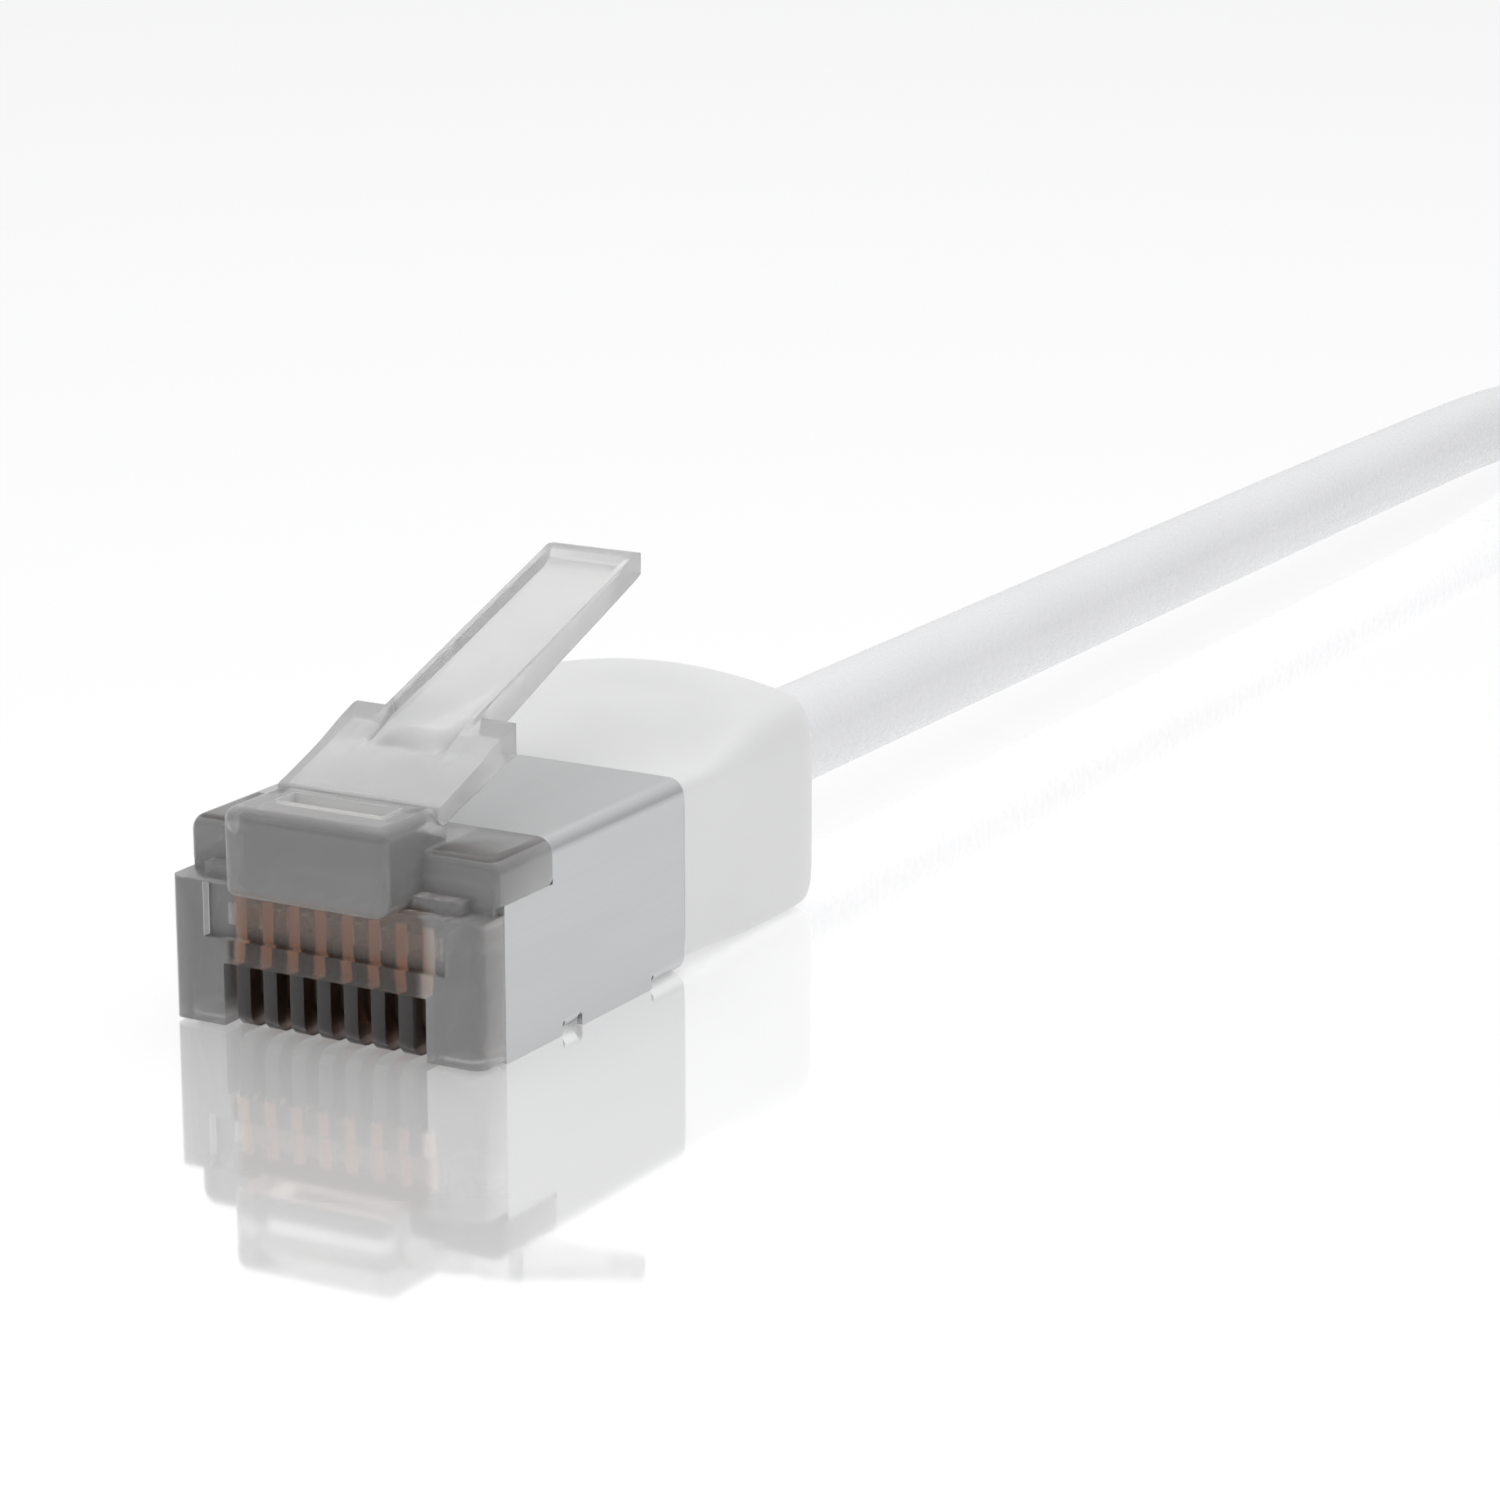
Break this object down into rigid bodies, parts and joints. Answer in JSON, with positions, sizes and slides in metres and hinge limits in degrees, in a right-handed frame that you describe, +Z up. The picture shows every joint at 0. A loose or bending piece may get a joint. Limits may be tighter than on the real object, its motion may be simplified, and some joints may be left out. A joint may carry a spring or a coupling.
{
  "type": "ethernet patch cable",
  "caption": "Shielded modular patch lead with clear latching plugs, moulded boots and a slim round cable, its spare length tied in a hank.",
  "frame": {"origin": "on the surface that the near plug lies on, under the middle of the plug's width and length", "axes": "+Y along the near plug from its nose to the cable, +X across the contacts, +Z up from the contacts' side to the latch"},
  "size_m": [0.0298, 0.2196, 0.013],
  "materials": {
    "clear_polycarbonate": "frosted clear moulding",
    "shield_steel": "satin, brushed along the plug",
    "contact_gold": "gold plated",
    "core_copper": "bare copper",
    "tinned_braid": "tinned braid",
    "boot_white": "soft satin moulding",
    "jacket_white": "satin extruded jacket",
    "mould_natural": "hard inner moulding",
    "tie_white": "hook-and-loop strap",
    "wire_white_orange": "extruded insulation",
    "wire_orange": "extruded insulation",
    "wire_white_green": "extruded insulation",
    "wire_blue": "extruded insulation",
    "wire_white_blue": "extruded insulation",
    "wire_green": "extruded insulation",
    "wire_white_brown": "extruded insulation",
    "wire_brown": "extruded insulation",
    "wire_insulation": "extruded insulation"
  },
  "bodies": {
    "lead": {"housing": "clear_polycarbonate", "far_housing": "clear_polycarbonate", "shield": "shield_steel", "far_shield": "shield_steel", "wire_cores": "core_copper", "far_wire_cores": "core_copper", "wire_guide": "clear_polycarbonate", "far_wire_guide": "clear_polycarbonate", "braid": "tinned_braid", "far_braid": "tinned_braid", "cable_end": "jacket_white", "far_cable_end": "jacket_white", "inner_mould": "mould_natural", "far_inner_mould": "mould_natural", "boot": "boot_white", "far_boot": "boot_white", "contact_1": "contact_gold", "wire_1": "wire_white_orange", "contact_2": "contact_gold", "wire_2": "wire_orange", "contact_3": "contact_gold", "wire_3": "wire_white_green", "contact_4": "contact_gold", "wire_4": "wire_blue", "contact_5": "contact_gold", "wire_5": "wire_white_blue", "contact_6": "contact_gold", "wire_6": "wire_green", "contact_7": "contact_gold", "wire_7": "wire_white_brown", "contact_8": "contact_gold", "wire_8": "wire_brown", "far_contacts": "contact_gold", "far_wires": "wire_insulation", "cable": "jacket_white", "cable_hank": "jacket_white", "cable_tail": "jacket_white", "hank_tie": "tie_white"},
    "latch": {"latch": "clear_polycarbonate"},
    "far_latch": {"far_latch": "clear_polycarbonate"}
  },
  "joints": [
    {"name": "latch_press", "type": "hinge", "parent": "lead", "child": "latch", "pos_m": [0, -0.00826, 0.00744], "axis": [1, 0, 0], "range_deg": [-17, 0], "stiffness_Nm_per_rad": 0.1},
    {"name": "far_latch_press", "type": "hinge", "parent": "lead", "child": "far_latch", "pos_m": [0, 0.20445, 0.00744], "axis": [1, 0, 0], "range_deg": [0, 17], "stiffness_Nm_per_rad": 0.1}
  ]
}
